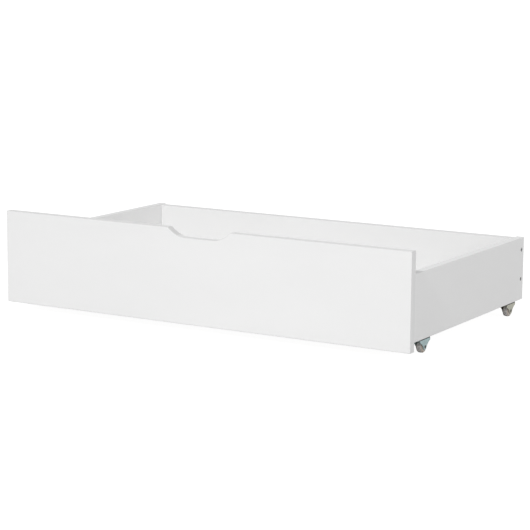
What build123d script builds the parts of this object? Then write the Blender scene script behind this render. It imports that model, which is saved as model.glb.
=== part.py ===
from build123d import *
import math
import os

# Under bed box: a shallow drawer on four fixed castors that rolls out from under a bed.
# Frame: origin on the floor under the middle of the box, +X to the right, -Y out of the front
# panel, +Z up. All sizes are millimetres.

# ---- overall size ----
overall_width = 1000.0
overall_depth = 590.0
overall_height = 222.0
board = 18.0                    # thickness of the front, side and back boards and the rail
edge_round = 1.0                # radius sanded on the exposed edges of every painted board

# ---- front panel and its hand cut-out ----
front_height = 204.5
cutout_centre_x = 5.0           # the cut-out is a little to the right of the middle
cutout_flat = 64.0              # width of the level stretch at its bottom
cutout_depth = 19.5
cutout_radius = 61.6            # concave sweep from the level stretch up to the top edge
cutout_lip_round = 6.0          # convex corner where that sweep meets the top edge

# ---- side and back panels ----
castor_height = 30.0            # floor to the lower edge of the sides
side_height = 140.0
side_inset = 13.0               # each side stands in from the end of the front panel
back_step = 2.0                 # the back finishes this much lower than the sides

# ---- base ----
base_thickness = 3.0
groove_width = 3.3
groove_depth = 6.0
base_end_gap = 0.5              # left at the bottom of each groove
base_joint_gap = 0.4            # between the two halves of the base
rail_width = 60.0

# ---- fixings ----
fixing_heights = (47.0, 113.0)  # cams and corner screws, above the lower edge of the sides
front_dowel_heights = (28.0, 128.0)
back_dowel_height = 78.0
rear_screw_setback = 13.0       # corner screws, in from the rear face
dowel_diameter = 8.0
dowel_length = 35.0
dowel_shallow_depth = 12.0      # the end of a dowel that sits in the face of a board
dowel_chamfer = 1.0
cam_diameter = 14.8
cam_pocket_diameter = 15.0
cam_height = 12.0
cam_pocket_depth = 12.5
cam_setback = 34.0              # cam centre behind the front panel
cam_bolt_bore = 8.0
cam_bolt_thread = 6.0
cam_bolt_thread_length = 11.0
cam_bolt_shank = 5.6
cam_bolt_neck = 4.2
cam_bolt_neck_length = 4.0
cam_bolt_head = 6.8
cam_bolt_head_length = 2.6
cam_bore_clearance = 0.2
recess_length = 7.0             # cross recess in the face of a cam
recess_width = 1.4
recess_depth = 2.0
corner_screw_head = 8.8
corner_screw_head_height = 3.6
corner_screw_shank = 5.0
corner_screw_length = 50.0
socket_size = 4.0               # hexagon socket across its corners
socket_depth = 2.0
rail_fixing_spacing = 36.0
base_screw_spacing_y = 220.0
base_screw_offset_x = 12.0
pan_head = 7.0
base_screw_head_height = 1.6
base_screw_shank = 3.0
base_screw_length = 13.0

# ---- castors ----
castor_front_y = -200.0
castor_rear_y = 232.5
bracket_length = 45.0
bracket_width = 18.0
bracket_gauge = 1.5             # thickness of the pressed steel
bracket_skirt = 6.5             # full-length depth of the legs before they taper
bracket_corner_round = 2.0
bracket_bend_radius = 2.0
axle_drop = 17.0                # axle below the lower edge of the side
axle_boss_radius = 6.3          # rounded lower end of each leg
bracket_flank_angle = -20.0     # where a leg's flank runs into that round end, from level
bracket_flank_hollow = 2.0      # how far the flank bows in from a straight line
wheel_radius = castor_height - axle_drop
wheel_width = 13.0
wheel_tread_round = 3.6
wheel_recess_depth = 1.5
wheel_rim_inner = 8.2
wheel_hub_radius = 4.6
wheel_hub_proud = 0.7           # hub stands out past the rim on both sides
axle_diameter = 4.0
axle_running_clearance = 0.05   # radial, wheel bore to axle
rivet_head_diameter = 7.0
rivet_head_height = 1.2
castor_screw_offset = 17.0
castor_screw_head_height = 2.0
castor_screw_shank = 3.5
castor_screw_length = 16.0

# ---- places worked out from the sizes above ----
front_face_y = -overall_depth / 2
rear_face_y = overall_depth / 2
front_inner_y = front_face_y + board
back_inner_y = rear_face_y - board
front_bottom_z = overall_height - front_height
side_bottom_z = castor_height
side_top_z = side_bottom_z + side_height
side_outer_x = overall_width / 2 - side_inset
side_inner_x = side_outer_x - board
side_middle_x = side_outer_x - board / 2
back_top_z = side_top_z - back_step
base_bottom_z = side_bottom_z + board
base_top_z = base_bottom_z + base_thickness
rail_middle_z = side_bottom_z + board / 2
axle_z = side_bottom_z - axle_drop
castor_places = {
    "front_left": (-side_middle_x, castor_front_y),
    "front_right": (side_middle_x, castor_front_y),
    "rear_left": (-side_middle_x, castor_rear_y),
    "rear_right": (side_middle_x, castor_rear_y),
}
hands = (-1, 1)                 # left, right


def block(x_range, y_range, z_range):
    """A rectangular block between two values on each axis."""
    sizes = [high - low for low, high in (x_range, y_range, z_range)]
    centre = [(high + low) / 2 for low, high in (x_range, y_range, z_range)]
    return Pos(*centre) * Box(*sizes)


def rod(start, direction, diameter, length):
    """A round bar that starts at a point and runs along a direction."""
    bar = Cylinder(diameter / 2, length, align=(Align.CENTER, Align.CENTER, Align.MIN))
    return Plane(origin=start, z_dir=direction) * bar


def turned(profile, start, direction):
    """A turned piece: (distance along, radius) corners spun about a line through start."""
    outline = Polyline(*[(radius, along) for along, radius in profile], close=True)
    spun = revolve(Plane.XZ * make_face(outline), Axis.Z, 360)
    return Plane(origin=start, z_dir=direction) * spun


def save(name, pieces):
    """Write one node: a single solid, or a group of separate solids."""
    solids = pieces if isinstance(pieces, list) else [pieces]
    solids = [solid for piece in solids for solid in piece.solids()]
    node = solids[0] if len(solids) == 1 else Compound(children=solids)
    node.label = name
    export_step(node, f"parts/{name}.step")


# ---- fixings: each function gives the fixing, or the hole that it goes in ----

def dowel(start, direction):
    """A straight wooden dowel with chamfered ends, from its shallow end."""
    radius = dowel_diameter / 2
    profile = [
        (0, 0),
        (0, radius - dowel_chamfer),
        (dowel_chamfer, radius),
        (dowel_length - dowel_chamfer, radius),
        (dowel_length, radius - dowel_chamfer),
        (dowel_length, 0),
    ]
    return turned(profile, start, direction)


def dowel_hole(start, direction):
    return rod(start, direction, dowel_diameter, dowel_length)


def corner_screw(start, direction):
    """A flat-headed connecting screw, from the outer face of its head."""
    shank = corner_screw_length - corner_screw_shank / 2
    profile = [
        (0, 0),
        (0, corner_screw_head / 2),
        (corner_screw_head_height / 2, corner_screw_head / 2),
        (corner_screw_head_height, corner_screw_shank / 2),
        (shank, corner_screw_shank / 2),
        (corner_screw_length, 0),
    ]
    socket = extrude(RegularPolygon(socket_size / 2, 6), socket_depth)
    return turned(profile, start, direction) - Plane(origin=start, z_dir=direction) * socket


def corner_screw_hole(start, direction):
    head = rod(start, direction, corner_screw_head, corner_screw_head_height)
    return head + rod(start, direction, corner_screw_shank, corner_screw_length)


def pan_screw(start, direction, head_height, shank_diameter, length):
    """A low-headed wood screw, from the outer face of its head, with a cross recess."""
    profile = [
        (0, 0),
        (0, pan_head / 2 - head_height / 2),
        (head_height / 2, pan_head / 2),
        (head_height, pan_head / 2),
        (head_height, shank_diameter / 2),
        (length - shank_diameter / 2, shank_diameter / 2),
        (length, 0),
    ]
    place = Plane(origin=start, z_dir=direction)
    slot = Box(pan_head / 2, head_height / 2, head_height)
    cross = slot + Rot(0, 0, 90) * slot
    return turned(profile, start, direction) - place * cross


def cam_bolt(hand, height):
    """The steel bolt that stands out of the front panel and is pulled in by its cam."""
    neck_start = cam_setback - cam_bolt_head_length / 2 - cam_bolt_neck_length
    head_start = cam_setback - cam_bolt_head_length / 2
    profile = [
        (-cam_bolt_thread_length, 0),
        (-cam_bolt_thread_length, cam_bolt_thread / 2),
        (0, cam_bolt_thread / 2),
        (0, cam_bolt_shank / 2),
        (neck_start, cam_bolt_shank / 2),
        (neck_start, cam_bolt_neck / 2),
        (head_start, cam_bolt_neck / 2),
        (head_start, cam_bolt_head / 2),
        (head_start + cam_bolt_head_length, cam_bolt_head / 2),
        (head_start + cam_bolt_head_length, 0),
    ]
    start = (hand * side_middle_x, front_inner_y, side_bottom_z + height)
    return turned(profile, start, (0, 1, 0))


def cam_lock(hand, height):
    """The round cam in the inner face of a side, bored to take the head of its bolt."""
    centre = (hand * side_inner_x, front_inner_y + cam_setback, side_bottom_z + height)
    disc = rod(centre, (hand, 0, 0), cam_diameter, cam_height)
    place = Plane(origin=centre, z_dir=(hand, 0, 0))
    slot = Box(recess_length, recess_width, 2 * recess_depth)
    cross = slot + Rot(0, 0, 90) * slot
    bolt_start = (hand * side_middle_x, front_inner_y, side_bottom_z + height)
    bore_length = cam_setback + cam_bolt_head_length / 2 + cam_bore_clearance
    bore = rod(bolt_start, (0, 1, 0), cam_bolt_head + 2 * cam_bore_clearance, bore_length)
    return disc - place * cross - bore


# ---- boards ----

def cutout_outline():
    """The hand cut-out: a level bottom with a concave sweep up to the top edge at each end."""
    bottom = overall_height - cutout_depth
    half_flat = cutout_flat / 2
    end_angle = math.asin((cutout_radius - cutout_depth) / cutout_radius)
    reach = half_flat + cutout_radius * math.cos(end_angle)
    middle_angle = (math.pi / 2 + end_angle) / 2
    middle_x = half_flat + cutout_radius * math.cos(middle_angle)
    middle_z = bottom + cutout_radius * (1 - math.sin(middle_angle))
    right_arc = ThreePointArc((half_flat, bottom), (middle_x, middle_z), (reach, overall_height))
    left_arc = ThreePointArc((-reach, overall_height), (-middle_x, middle_z), (-half_flat, bottom))
    top = [(reach, overall_height), (reach, overall_height + cutout_depth),
           (-reach, overall_height + cutout_depth), (-reach, overall_height)]
    level = Line((-half_flat, bottom), (half_flat, bottom))
    return Pos(cutout_centre_x, 0) * make_face(Curve() + [level, right_arc, Polyline(*top), left_arc])


def base_groove(x_range, y_range):
    """The groove that the edge of the base slides into."""
    return block(x_range, y_range, (base_bottom_z, base_bottom_z + groove_width))


def front_panel():
    outline = Pos(0, front_bottom_z + front_height / 2) * Rectangle(overall_width, front_height)
    rear_plane = Plane(origin=(0, front_inner_y, 0), x_dir=(1, 0, 0), z_dir=(0, -1, 0))
    panel = extrude(rear_plane * (outline - cutout_outline()), board)
    across = panel.edges().filter_by(Axis.Y)
    lip_reach = cutout_flat / 2 + 1
    lips = [edge for edge in across
            if abs(edge.center().Z - overall_height) < 0.01
            and lip_reach < abs(edge.center().X - cutout_centre_x) < overall_width / 4]
    panel = fillet(lips, cutout_lip_round)
    corners = [edge for edge in panel.edges().filter_by(Axis.Y)
               if abs(abs(edge.center().X) - overall_width / 2) < 0.01]
    panel = fillet(corners, edge_round)
    rims = panel.faces().filter_by(Axis.Y).edges()
    panel = fillet(rims, edge_round)
    groove_end = side_inner_x + groove_depth
    panel -= base_groove((-groove_end, groove_end), (front_inner_y - groove_depth, front_inner_y))
    for hand in hands:
        for height in fixing_heights:
            start = (hand * side_middle_x, front_inner_y, side_bottom_z + height)
            panel -= rod(start, (0, -1, 0), cam_bolt_thread, cam_bolt_thread_length)
    for start in front_dowel_starts() + rail_dowel_starts():
        panel -= dowel_hole(start, (0, 1, 0))
    return panel


def side_panel(hand):
    xs = sorted((hand * side_inner_x, hand * side_outer_x))
    panel = block(xs, (front_inner_y, rear_face_y), (side_bottom_z, side_top_z))
    rear_uprights = panel.edges().filter_by(Axis.Z).sort_by(Axis.Y)[-2:]
    panel = fillet(panel.edges().filter_by(Axis.Y) + rear_uprights, edge_round)
    groove_x = sorted((hand * side_inner_x, hand * (side_inner_x + groove_depth)))
    panel -= base_groove(groove_x, (front_inner_y, back_inner_y + groove_depth))
    for height in fixing_heights:
        z = side_bottom_z + height
        bolt_start = (hand * side_middle_x, front_inner_y, z)
        panel -= rod(bolt_start, (0, 1, 0), cam_bolt_bore, cam_setback)
        cam_centre = (hand * side_inner_x, front_inner_y + cam_setback, z)
        panel -= rod(cam_centre, (hand, 0, 0), cam_pocket_diameter, cam_pocket_depth)
    for start in front_dowel_starts():
        panel -= dowel_hole(start, (0, 1, 0))
    for start, direction in corner_screw_starts():
        panel -= corner_screw_hole(start, direction)
    for start, direction in back_dowel_starts():
        panel -= dowel_hole(start, direction)
    for start in castor_screw_starts():
        panel -= rod(start, (0, 0, 1), castor_screw_shank, castor_screw_length)
    return panel


def back_panel():
    panel = block((-side_inner_x, side_inner_x), (back_inner_y, rear_face_y), (side_bottom_z, back_top_z))
    panel = fillet(panel.edges().filter_by(Axis.X), edge_round)
    panel -= base_groove((-side_inner_x, side_inner_x), (back_inner_y, back_inner_y + groove_depth))
    for start, direction in corner_screw_starts() + rail_screw_starts():
        panel -= corner_screw_hole(start, direction)
    for start, direction in back_dowel_starts():
        panel -= dowel_hole(start, direction)
    return panel


def base_half(hand):
    reach = groove_depth - base_end_gap
    xs = sorted((hand * base_joint_gap / 2, hand * (side_inner_x + reach)))
    ys = (front_inner_y - reach, back_inner_y + reach)
    half = block(xs, ys, (base_bottom_z, base_top_z))
    for start in base_screw_starts(hand):
        half -= rod(start, (0, 0, -1), base_screw_shank, base_screw_length)
    return half


def base_centre_rail():
    """The rail under the joint of the base, from the front panel to the back."""
    rail = block((-rail_width / 2, rail_width / 2), (front_inner_y, back_inner_y),
                 (side_bottom_z, base_bottom_z))
    rail = fillet(rail.edges().filter_by(Axis.Y).sort_by(Axis.Z)[:2], edge_round)
    for start in rail_dowel_starts():
        rail -= dowel_hole(start, (0, 1, 0))
    for start, direction in rail_screw_starts():
        rail -= corner_screw_hole(start, direction)
    for hand in hands:
        for start in base_screw_starts(hand):
            rail -= rod(start, (0, 0, -1), base_screw_shank, base_screw_length)
    return rail


# ---- where the repeated fixings start, and which way they point ----

def front_dowel_starts():
    y = front_inner_y - dowel_shallow_depth
    return [(hand * side_middle_x, y, side_bottom_z + height)
            for hand in hands for height in front_dowel_heights]


def back_dowel_starts():
    x = side_inner_x + dowel_shallow_depth
    y = rear_face_y - board / 2
    return [((hand * x, y, side_bottom_z + back_dowel_height), (-hand, 0, 0)) for hand in hands]


def rail_dowel_starts():
    y = front_inner_y - dowel_shallow_depth
    return [(hand * rail_fixing_spacing / 2, y, rail_middle_z) for hand in hands]


def corner_screw_starts():
    y = rear_face_y - rear_screw_setback
    return [((hand * side_outer_x, y, side_bottom_z + height), (-hand, 0, 0))
            for hand in hands for height in fixing_heights]


def rail_screw_starts():
    x = rail_fixing_spacing / 2
    return [((hand * x, rear_face_y, rail_middle_z), (0, -1, 0)) for hand in hands]


def base_screw_starts(hand):
    z = base_top_z + base_screw_head_height
    return [(hand * base_screw_offset_x, step * base_screw_spacing_y, z) for step in (-1, 0, 1)]


def castor_screw_starts():
    z = side_bottom_z - bracket_gauge - castor_screw_head_height
    return [(x, y + end * castor_screw_offset, z)
            for x, y in castor_places.values() for end in (-1, 1)]


# ---- castors ----

def leg_outline():
    """A bracket leg seen from the side: a full-length skirt with hollow flanks down to a round end."""
    half = bracket_length / 2
    angle = math.radians(bracket_flank_angle)
    low = (axle_boss_radius * math.cos(angle), axle_boss_radius * math.sin(angle) - axle_drop)
    low_left = (-low[0], low[1])
    bottom = (0, -axle_drop - axle_boss_radius)
    lines = [
        Polyline((-half, -bracket_skirt), (-half, 0), (half, 0), (half, -bracket_skirt)),
        SagittaArc((half, -bracket_skirt), low, -bracket_flank_hollow),
        ThreePointArc(low, bottom, low_left),
        SagittaArc(low_left, (-half, -bracket_skirt), -bracket_flank_hollow),
    ]
    outline = make_face(Curve() + lines)
    corners = [vertex for vertex in outline.vertices() if abs(vertex.Y + bracket_skirt) < 0.01]
    return fillet(corners, bracket_corner_round)


def castor_bracket(x, y):
    """A pressed steel channel: a top plate with a leg down each side of the wheel."""
    outer = x + bracket_width / 2
    plane = Plane(origin=(outer, y, side_bottom_z), x_dir=(0, 1, 0), z_dir=(1, 0, 0))
    channel = extrude(plane * leg_outline(), -bracket_width)
    bends = channel.edges().filter_by(Axis.Y).sort_by(Axis.Z)[-2:]
    channel = fillet(bends, bracket_bend_radius)
    inner = bracket_width / 2 - bracket_gauge
    depth = axle_drop + axle_boss_radius
    channel -= block((x - inner, x + inner), (y - bracket_length, y + bracket_length),
                     (side_bottom_z - 2 * depth, side_bottom_z - bracket_gauge))
    channel -= rod((x - bracket_width, y, axle_z), (1, 0, 0), axle_diameter, 2 * bracket_width)
    for end in (-1, 1):
        start = (x, y + end * castor_screw_offset, side_bottom_z - 2 * bracket_gauge)
        channel -= rod(start, (0, 0, 1), castor_screw_shank, 3 * bracket_gauge)
    return channel


def castor_axle(x, y):
    """A rivet through both legs, with a low domed head on each."""
    half = bracket_width / 2
    profile = [
        (-half - rivet_head_height, 0),
        (-half - rivet_head_height, rivet_head_diameter / 4),
        (-half, rivet_head_diameter / 2),
        (-half, axle_diameter / 2),
        (half, axle_diameter / 2),
        (half, rivet_head_diameter / 2),
        (half + rivet_head_height, rivet_head_diameter / 4),
        (half + rivet_head_height, 0),
    ]
    return turned(profile, (x, y, axle_z), (1, 0, 0))


def castor_wheel(x, y):
    """A moulded wheel: rounded tread, dished sides and a hub that spaces it off the legs."""
    half = wheel_width / 2
    bore = axle_diameter / 2 + axle_running_clearance
    dish = half - wheel_recess_depth
    hub = half + wheel_hub_proud
    rim = wheel_rim_inner + wheel_recess_depth / 2
    right_side = [
        (half, wheel_radius),
        (half, rim),
        (dish, wheel_rim_inner),
        (dish, wheel_hub_radius),
        (hub, wheel_hub_radius),
        (hub, bore),
    ]
    left_side = [(-along, radius) for along, radius in reversed(right_side)]
    wheel = turned(left_side + right_side, (x, y, axle_z), (1, 0, 0))
    shoulders = [edge for edge in wheel.edges().filter_by(GeomType.CIRCLE)
                 if abs(edge.radius - wheel_radius) < 0.01]
    return fillet(shoulders, wheel_tread_round)


os.makedirs("parts", exist_ok=True)

save("front_panel", front_panel())
save("left_side_panel", side_panel(-1))
save("right_side_panel", side_panel(1))
save("back_panel", back_panel())
save("base_panel_left", base_half(-1))
save("base_panel_right", base_half(1))
save("base_centre_rail", base_centre_rail())

save("cam_locks", [cam_lock(hand, height) for hand in hands for height in fixing_heights])
save("cam_bolts", [cam_bolt(hand, height) for hand in hands for height in fixing_heights])
save("front_dowels", [dowel(start, (0, 1, 0)) for start in front_dowel_starts()])
save("back_dowels", [dowel(start, direction) for start, direction in back_dowel_starts()])
save("rail_dowels", [dowel(start, (0, 1, 0)) for start in rail_dowel_starts()])
save("rear_corner_screws", [corner_screw(start, direction) for start, direction in corner_screw_starts()])
save("rail_screws", [corner_screw(start, direction) for start, direction in rail_screw_starts()])
save("base_screws", [
    pan_screw(start, (0, 0, -1), base_screw_head_height, base_screw_shank, base_screw_length)
    for hand in hands for start in base_screw_starts(hand)])
save("castor_screws", [
    pan_screw(start, (0, 0, 1), castor_screw_head_height, castor_screw_shank, castor_screw_length)
    for start in castor_screw_starts()])

for place, (x, y) in castor_places.items():
    save(f"{place}_castor_bracket", castor_bracket(x, y))
    save(f"{place}_castor_axle", castor_axle(x, y))
    save(f"{place}_castor_wheel", castor_wheel(x, y))
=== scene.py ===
"""The looks of a white under bed box on castors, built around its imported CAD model.

Every place and size comes from the frame, in metres: +X is to the right, -Y is out of the front
panel and +Z is up. The boards are the CAD's own nodes with better finishes. The castors, screws,
cams, bolts and dowels are new surfaces that stand for their CAD nodes.
"""
import math

import bmesh
import bpy
import numpy as np
from bpy.props import FloatProperty, FloatVectorProperty, IntProperty, PointerProperty
from bpy.types import Operator, Panel, PropertyGroup
from mathutils import Matrix, Vector


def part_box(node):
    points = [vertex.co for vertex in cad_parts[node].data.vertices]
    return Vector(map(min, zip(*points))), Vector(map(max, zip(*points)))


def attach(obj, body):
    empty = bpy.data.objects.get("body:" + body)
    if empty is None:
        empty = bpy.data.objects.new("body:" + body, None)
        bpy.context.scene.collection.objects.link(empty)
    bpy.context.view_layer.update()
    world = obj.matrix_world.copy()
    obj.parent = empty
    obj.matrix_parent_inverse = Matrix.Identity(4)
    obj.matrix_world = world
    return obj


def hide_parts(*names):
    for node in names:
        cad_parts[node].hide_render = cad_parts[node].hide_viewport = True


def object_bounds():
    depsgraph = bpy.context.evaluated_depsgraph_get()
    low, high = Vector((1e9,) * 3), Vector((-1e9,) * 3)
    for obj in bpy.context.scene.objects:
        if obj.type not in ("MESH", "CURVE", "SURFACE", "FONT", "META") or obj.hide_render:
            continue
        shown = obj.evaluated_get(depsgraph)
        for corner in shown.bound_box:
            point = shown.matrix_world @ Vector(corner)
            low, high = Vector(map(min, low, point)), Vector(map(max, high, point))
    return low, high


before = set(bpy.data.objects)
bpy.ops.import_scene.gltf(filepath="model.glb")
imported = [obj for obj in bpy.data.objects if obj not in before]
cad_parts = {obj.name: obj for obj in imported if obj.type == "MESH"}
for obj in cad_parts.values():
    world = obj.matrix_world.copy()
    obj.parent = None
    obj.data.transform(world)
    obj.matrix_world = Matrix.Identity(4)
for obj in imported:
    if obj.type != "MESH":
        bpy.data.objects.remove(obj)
cad_box = [list(corner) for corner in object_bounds()]

bl_info = {
    "name": "Under Bed Box Looks",
    "version": (1, 0, 0),
    "blender": (4, 5, 0),
    "location": "3D View > Sidebar > Under Bed Box",
    "description": "Finishes, castors and fixings for a white under bed box",
    "category": "Object",
}

CASTORS = ("front_left", "front_right", "rear_left", "rear_right")
MM = 0.001


# ---- where things are, read from the frame ----

def box_middle(node):
    """The middle of a CAD node's box."""
    low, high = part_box(node)
    return (low + high) / 2


def box_size(node):
    """How far a CAD node's box reaches along X, Y and Z."""
    low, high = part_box(node)
    return high - low


def islands(node):
    """The lowest and highest corners of each separate solid in a CAD node.

    Corners that share a place are one point, and points joined by an edge are one solid: the
    lowest point number is handed along the edges until nothing changes.
    """
    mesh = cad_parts[node].data
    places = np.empty(len(mesh.vertices) * 3)
    mesh.vertices.foreach_get("co", places)
    places = places.reshape(-1, 3)
    edges = np.empty(len(mesh.edges) * 2, np.int64)
    mesh.edges.foreach_get("vertices", edges)
    grid = np.round(places / (0.01 * MM)).astype(np.int64)
    unique, point = np.unique(grid, axis=0, return_inverse=True)
    point = point.ravel()
    ends = point[edges.reshape(-1, 2)]
    label = np.arange(len(unique))
    while True:
        lowest = np.minimum(label[ends[:, 0]], label[ends[:, 1]])
        new = label.copy()
        np.minimum.at(new, ends[:, 0], lowest)
        np.minimum.at(new, ends[:, 1], lowest)
        new = new[new]
        if np.array_equal(new, label):
            break
        label = new
    found = []
    for solid in np.unique(label):
        corners = places[label[point] == solid]
        found.append((Vector(corners.min(0)), Vector(corners.max(0))))
    return sorted(found, key=lambda pair: tuple(round(value, 4) for value in pair[0]))


# ---- surfaces ----

def smoothstep(low, high, value):
    """0 below low, 1 above high, and a smooth cubic between them."""
    t = np.clip((value - low) / (high - low), 0, 1)
    return t * t * (3 - 2 * t)


def sheet_object(name, points, material, close_rows=False, close_columns=False, sharp_angle=35):
    """A mesh object from a grid of points, rows by columns by 3.

    Each grid cell is one face, wound so that columns crossed with rows point outwards. Points in
    the same place are merged, which closes poles and seams.
    """
    rows, columns = points.shape[:2]
    index = np.arange(rows * columns).reshape(rows, columns)
    down = np.roll(index, -1, axis=0)
    across = np.roll(index, -1, axis=1)
    both = np.roll(down, -1, axis=1)
    faces = np.stack([index, across, both, down], axis=-1)
    if not close_rows:
        faces = faces[:-1]
    if not close_columns:
        faces = faces[:, :-1]
    mesh = bpy.data.meshes.new(name)
    mesh.from_pydata(points.reshape(-1, 3).tolist(), [], faces.reshape(-1, 4).tolist())
    shape = bmesh.new()
    shape.from_mesh(mesh)
    bmesh.ops.remove_doubles(shape, verts=shape.verts, dist=0.0005 * MM)
    shape.to_mesh(mesh)
    shape.free()
    mesh.shade_smooth()
    mesh.set_sharp_from_angle(angle=math.radians(sharp_angle))
    mesh.materials.append(material)
    piece = bpy.data.objects.new(name, mesh)
    bpy.context.scene.collection.objects.link(piece)
    return piece


def directions(axis):
    """Three unit vectors: along the axis, and two across it that make a right-handed set."""
    along = Vector(axis).normalized()
    helper = Vector((0, 0, 1)) if abs(along.z) < 0.9 else Vector((0, 1, 0))
    side = helper.cross(along).normalized()
    return np.array([along, side, along.cross(side)])


def lathe(start, axis, along, radius, segments):
    """A surface of revolution as a grid: row i is a ring at along[i] with radius[i].

    along and radius have one value per row, or one per row and column. A ring's point at angle a
    is start + along * axis + radius * (side * cos a + up * sin a).
    """
    angle = np.linspace(0, 2 * math.pi, segments, endpoint=False)
    along = np.broadcast_to(np.asarray(along, float).reshape(len(along), -1), (len(along), segments))
    radius = np.broadcast_to(np.asarray(radius, float).reshape(len(radius), -1), along.shape)
    forward, side, up = directions(axis)
    around = np.cos(angle)[:, None] * side + np.sin(angle)[:, None] * up
    return np.array(start) + along[..., None] * forward + radius[..., None] * around


def arc(centre, radius, start, end, count):
    """Points on a circle from one angle to another, in degrees, as (first, second) columns."""
    angle = np.radians(np.linspace(start, end, count))
    return np.stack([centre[0] + radius * np.cos(angle), centre[1] + radius * np.sin(angle)], axis=1)


def finish_piece(piece, body, slot, *nodes):
    """The piece rides on a body and stands for CAD nodes; the slot argument is not used."""
    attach(piece, body)
    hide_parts(*nodes)


# ---- castors ----

def wheel_points(node, bore_radius, seam, spokes):
    """A moulded wheel as one closed surface about its axle.

    The profile runs over a slightly crowned tread with a seam at its middle, round a shoulder,
    down the rim's side into a dish, up the hub's wall and across its face to the bore, and back
    the same way on the other side. Radial ribs lift the dish: a rib's height is a smooth step of
    the cosine of spokes times the angle, faded out towards the hub and the rim.
    """
    size = box_size(node)
    radius, hub_half = size.z / 2, size.x / 2
    half, shoulder, crown = hub_half - 0.7 * MM, 3.6 * MM, 0.15 * MM
    dish_depth, rib_height = 1.5 * MM, 1.0 * MM
    rim, hub, corner = 8.6 * MM, 4.6 * MM, 0.35 * MM
    seam_width = 0.22 * MM
    tread = np.concatenate([np.linspace(0, 0.5, 6), np.linspace(0.8, (half - shoulder) / MM, 5)[:-1]]) * MM
    tread_radius = radius - seam - crown * (tread / half) ** 2 + seam * np.exp(-(tread / seam_width) ** 2)
    shoulder_centre = (half - shoulder, radius - seam - crown - shoulder)
    floor_x = half - dish_depth
    right = np.concatenate([
        np.stack([tread, tread_radius], axis=1),
        arc(shoulder_centre, shoulder, 90, 0, 15),
        arc((half - corner, rim + corner), corner, 0, -90, 5),
        arc((floor_x + corner, rim - corner - 0.15 * MM), corner, 90, 180, 5),
        np.stack([np.full(14, floor_x), np.linspace(rim - 2.2 * corner, hub + corner, 14)], axis=1),
        arc((floor_x + corner, hub + corner), corner, 180, 270, 5),
        arc((hub_half - corner, hub - corner), corner, 90, 0, 5),
        np.stack([np.full(3, hub_half), np.linspace(hub - 2 * corner, bore_radius + corner, 3)], axis=1),
        arc((hub_half - corner, bore_radius + corner), corner, 0, -90, 4),
    ])
    left = right[1:][::-1] * (-1, 1)
    profile = np.concatenate([right, left])
    segments = 120
    angle = np.linspace(0, 2 * math.pi, segments, endpoint=False)
    rib = smoothstep(0.82, 0.97, np.cos(spokes * angle))
    along = np.repeat(profile[:, :1], segments, axis=1)
    on_floor = np.isclose(np.abs(profile[:, 0]), floor_x, atol=1e-9)
    fade = (smoothstep(hub + corner, hub + 3 * corner, profile[:, 1])
            * smoothstep(rim - corner, rim - 4 * corner, profile[:, 1]))
    lift = rib_height * (fade * on_floor * np.sign(profile[:, 0]))[:, None] * rib
    return lathe(box_middle(node), (1, 0, 0), along + lift, profile[:, 1], segments)


def bracket_outline(half, skirt, drop, boss, hollow):
    """How deep a bracket's leg hangs, as (y, depth) from one end of the bracket to the other.

    From the middle out: a round end about the axle, a flank that is an arc bowed inwards by
    hollow, and a rounded lower corner that runs up into the end of the skirt.
    """
    flank_angle, corner = 20, 2.0 * MM
    low = np.array([boss * math.cos(math.radians(flank_angle)),
                    drop + boss * math.sin(math.radians(flank_angle))])
    high = np.array([half, skirt])
    chord = high - low
    length = np.hypot(*chord)
    radius = (length / 2) ** 2 / (2 * hollow) + hollow / 2
    normal = np.array([chord[1], -chord[0]]) / length
    centre = (low + high) / 2 - normal * (radius - hollow)
    start = math.atan2(*(low - centre)[::-1])
    end = math.atan2(*(high - centre)[::-1])
    step = (end - start + math.pi) % (2 * math.pi) - math.pi
    flank = arc(centre, radius, math.degrees(start), math.degrees(start + step), 22)
    slope = abs(math.atan2(*(flank[-1] - flank[-2])[::-1]))
    slope = min(slope, math.pi - slope)
    corner_y = half - corner
    flank_there = skirt + math.tan(slope) * corner
    corner_depth = flank_there - corner / math.cos(slope)
    rounding = arc((corner_y, corner_depth), corner, 90 - math.degrees(slope), 0, 7)
    flank = flank[flank[:, 0] < rounding[0, 0] - 0.2 * MM]
    end_arc = arc((0, drop), boss, 90, flank_angle, 10)[:-1]
    side = np.concatenate([end_arc, flank, rounding])
    return np.concatenate([side[:0:-1] * (-1, 1), side])


def bracket_points(node, axle_node, bend, skirt, hollow):
    """The outside of a pressed steel channel: a grid of outline rows along Y by columns that run
    up the left leg, round its bend, across the plate and down the right leg."""
    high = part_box(node)[1]
    middle, size = box_middle(node), box_size(node)
    drop = high.z - box_middle(axle_node).z
    outline = bracket_outline(size.y / 2, skirt, drop, size.z - drop, hollow)
    across = size.x / 2
    leg = np.linspace(0, 1, 9)
    turn = arc((-across + bend, -bend), bend, 180, 90, 7)
    plate = np.linspace(-across + bend, 0, 4)
    depth = outline[:, 1:]
    leg_z = -(depth + (bend - depth) * leg)
    leg_x = np.full_like(leg_z, -across)
    rest_x = np.concatenate([turn[1:, 0], plate[1:]])
    rest_z = np.concatenate([turn[1:, 1], np.zeros(len(plate) - 1)])
    rows = len(outline)
    x = np.concatenate([leg_x, np.tile(rest_x, (rows, 1))], axis=1)
    z = np.concatenate([leg_z, np.tile(rest_z, (rows, 1))], axis=1)
    x = np.concatenate([x, -x[:, -2::-1]], axis=1)
    z = np.concatenate([z, z[:, -2::-1]], axis=1)
    y = np.repeat(outline[:, :1], x.shape[1], axis=1)
    return np.stack([x, y, z], axis=-1) + np.array((middle.x, middle.y, high.z))


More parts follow.
